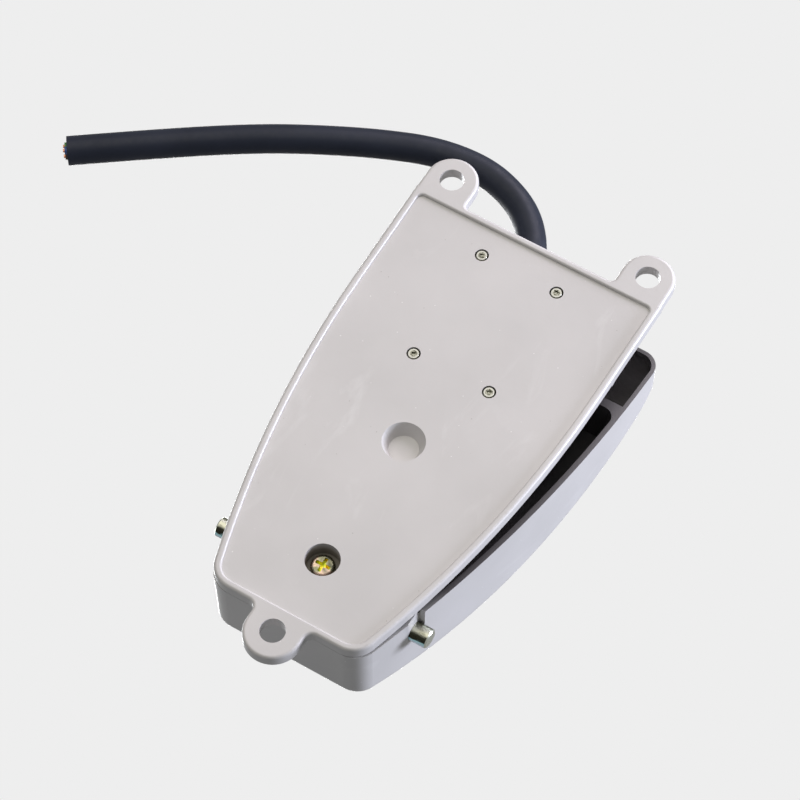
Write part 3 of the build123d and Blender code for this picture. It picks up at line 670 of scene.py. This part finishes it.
def makeFloorPaper(facts):
    material = bpy.data.materials.new("floorPaper")
    material.use_nodes = True
    tree = material.node_tree
    tree.nodes.clear()
    coords = tree.nodes.new("ShaderNodeTexCoord").outputs["Object"]
    paper = tree.nodes.new("ShaderNodeBsdfDiffuse")
    paper.inputs["Color"].default_value = (*facts["colour"], 1.0)
    clear = tree.nodes.new("ShaderNodeBsdfTransparent")
    distance = tree.nodes.new("ShaderNodeVectorMath")
    distance.operation = "LENGTH"
    tree.links.new(coords, distance.inputs[0])
    faded = between(tree, distance.outputs["Value"], facts["fadeFrom"], facts["fadeTo"], 0.0, 1.0)
    back = tree.nodes.new("ShaderNodeNewGeometry").outputs["Backfacing"]
    mix = tree.nodes.new("ShaderNodeMixShader")
    tree.links.new(maths(tree, "MAXIMUM", faded, back), mix.inputs[0])
    tree.links.new(paper.outputs[0], mix.inputs[1])
    tree.links.new(clear.outputs[0], mix.inputs[2])
    out = tree.nodes.new("ShaderNodeOutputMaterial")
    tree.links.new(mix.outputs[0], out.inputs["Surface"])
    return material


def makeFloor(facts):
    half, level = facts["half"], facts["level"]
    corners = [(-half, -half, level), (half, -half, level), (half, half, level), (-half, half, level)]
    mesh = bpy.data.meshes.new("floor")
    mesh.from_pydata(corners, [], [(0, 1, 2, 3)])
    mesh.materials.append(makeFloorPaper(facts))
    floor = bpy.data.objects.new("floor", mesh)
    scene.collection.objects.link(floor)
    floor.visible_shadow = False
    floor.visible_diffuse = False
    floor.visible_glossy = False
    floor.visible_transmission = False


makeFloor(floorFacts)


# World: the pale background for the camera, a dimmer one in reflections, and a plain dim light for the rest

skyFacts = {
    "background": (0.855, 0.855, 0.855),
    "ambient": (0.93, 0.96, 1.0),
    "ambientStrength": 0.20,
    "mirroredStrength": 0.47,
}


def makeSky(tree, colour, strength=1.0):
    sky = tree.nodes.new("ShaderNodeBackground")
    sky.inputs["Color"].default_value = (*colour, 1.0)
    sky.inputs["Strength"].default_value = strength
    return sky.outputs[0]


def chooseSky(tree, asked, otherwise, chosen):
    mix = tree.nodes.new("ShaderNodeMixShader")
    for socket, value in zip(mix.inputs, (asked, otherwise, chosen)):
        tree.links.new(value, socket)
    return mix.outputs[0]


def makeWorld(facts):
    world = bpy.data.worlds.new("studio")
    scene.world = world
    world.use_nodes = True
    tree = world.node_tree
    tree.nodes.clear()
    path = tree.nodes.new("ShaderNodeLightPath")
    seen = maths(tree, "MAXIMUM", path.outputs["Is Camera Ray"], path.outputs["Is Transmission Ray"])
    pale = makeSky(tree, facts["background"])
    dim = makeSky(tree, facts["ambient"], facts["ambientStrength"])
    mirrored = makeSky(tree, facts["background"], facts["mirroredStrength"])
    unseen = chooseSky(tree, path.outputs["Is Glossy Ray"], dim, mirrored)
    out = tree.nodes.new("ShaderNodeOutputWorld")
    tree.links.new(chooseSky(tree, seen, unseen, pale), out.inputs["Surface"])


makeWorld(skyFacts)


# Soft lamps: three below the part for the picture, whose light comes from -X and +Y, and two above it

lamps = {
    "pictureSide": {"place": (-1.00, 0.60, -0.10), "size": 0.50, "power": 20.5, "colour": (0.81, 0.85, 1.0)},
    "pictureFace": {"place": (0.30, 0.10, -1.30), "size": 1.60, "power": 8.8, "colour": (0.98, 0.94, 0.84)},
    "pictureToe": {"place": (-0.10, 1.20, -0.80), "size": 1.00, "power": 14.5, "colour": (0.95, 0.89, 0.98)},
    "topKey": {"place": (0.60, 0.80, 1.60), "size": 0.90, "power": 24.0, "colour": (1.0, 0.99, 0.98)},
    "topFill": {"place": (1.20, 0.10, 1.20), "size": 0.90, "power": 10.0, "colour": (0.94, 0.97, 1.0)},
}


def makeLamps(facts):
    for name, lamp in facts.items():
        data = bpy.data.lights.new(name, "AREA")
        data.shape = "DISK"
        data.size = lamp["size"]
        data.energy = lamp["power"]
        data.color = lamp["colour"]
        piece = bpy.data.objects.new(name, data)
        piece.location = lamp["place"]
        piece.rotation_mode = "QUATERNION"
        piece.rotation_quaternion = (-Vector(lamp["place"])).to_track_quat("-Z", "Y")
        scene.collection.objects.link(piece)


makeLamps(lamps)
scene.view_settings.view_transform = "Standard"
print("stage lit")
